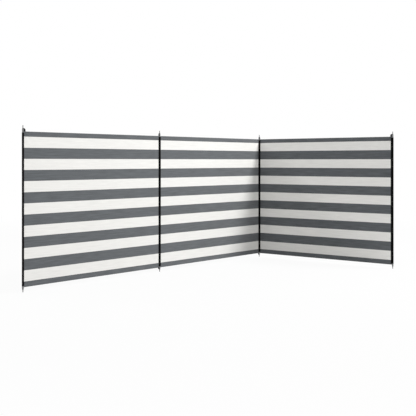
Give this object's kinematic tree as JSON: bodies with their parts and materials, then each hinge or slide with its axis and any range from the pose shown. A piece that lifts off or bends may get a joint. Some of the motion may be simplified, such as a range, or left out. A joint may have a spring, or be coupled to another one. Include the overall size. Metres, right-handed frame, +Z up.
{
  "type": "beach windbreak",
  "caption": "Striped cloth screen in bays, sleeved on steel poles with ground spikes; the end bays swing about the inner poles.",
  "frame": {"origin": "centre of the corner pole's foot face, at ground level", "axes": "+Z up; the middle and left bays run along -X from the corner pole, the right bay along -Y"},
  "size_m": [3.62, 1.82, 1.5036],
  "materials": {
    "striped_cloth": "woven, matte, wide dark grey and white stripes",
    "hem_cloth": "woven, matte, folded and stitched",
    "sleeve_cloth": "woven, matte black",
    "strap_webbing": "ribbed webbing",
    "pole_steel": "dull zinc-coated tube, satin",
    "pin_steel": "turned steel, satin"
  },
  "bodies": {
    "middle_bay": {"middle_cloth": "striped_cloth", "middle_top_hem": "hem_cloth", "middle_bottom_hem": "hem_cloth", "middle_pole_lower_tube": "pole_steel", "middle_pole_upper_tube": "pole_steel", "middle_pole_top_pin": "pin_steel", "middle_pole_ground_spike": "pin_steel", "corner_pole_lower_tube": "pole_steel", "corner_pole_upper_tube": "pole_steel", "corner_pole_top_pin": "pin_steel", "corner_pole_ground_spike": "pin_steel", "middle_pole_sleeve": "sleeve_cloth", "corner_pole_sleeve": "sleeve_cloth", "corner_pole_top_strap": "strap_webbing", "corner_pole_foot_strap": "strap_webbing"},
    "left_bay": {"left_cloth": "striped_cloth", "left_top_hem": "hem_cloth", "left_bottom_hem": "hem_cloth", "left_pole_lower_tube": "pole_steel", "left_pole_upper_tube": "pole_steel", "left_pole_top_pin": "pin_steel", "left_pole_ground_spike": "pin_steel", "left_pole_sleeve": "sleeve_cloth", "left_pole_top_strap": "strap_webbing", "middle_pole_top_strap": "strap_webbing", "middle_pole_foot_strap": "strap_webbing", "left_pole_foot_loop": "strap_webbing"},
    "right_bay": {"right_cloth": "striped_cloth", "right_top_hem": "hem_cloth", "right_bottom_hem": "hem_cloth", "right_pole_lower_tube": "pole_steel", "right_pole_upper_tube": "pole_steel", "right_pole_top_pin": "pin_steel", "right_pole_ground_spike": "pin_steel", "right_pole_sleeve": "sleeve_cloth", "right_pole_top_strap": "strap_webbing", "corner_pole_second_top_strap": "strap_webbing", "right_pole_foot_loop": "strap_webbing"}
  },
  "joints": [
    {"name": "left_fold", "type": "hinge", "parent": "middle_bay", "child": "left_bay", "pos_m": [-1.8, 0, 0.72], "axis": [0, 0, 1], "range_deg": [-165, 90]},
    {"name": "right_fold", "type": "hinge", "parent": "middle_bay", "child": "right_bay", "pos_m": [0, 0, 0.72], "axis": [0, 0, 1], "range_deg": [-75, 180]}
  ]
}
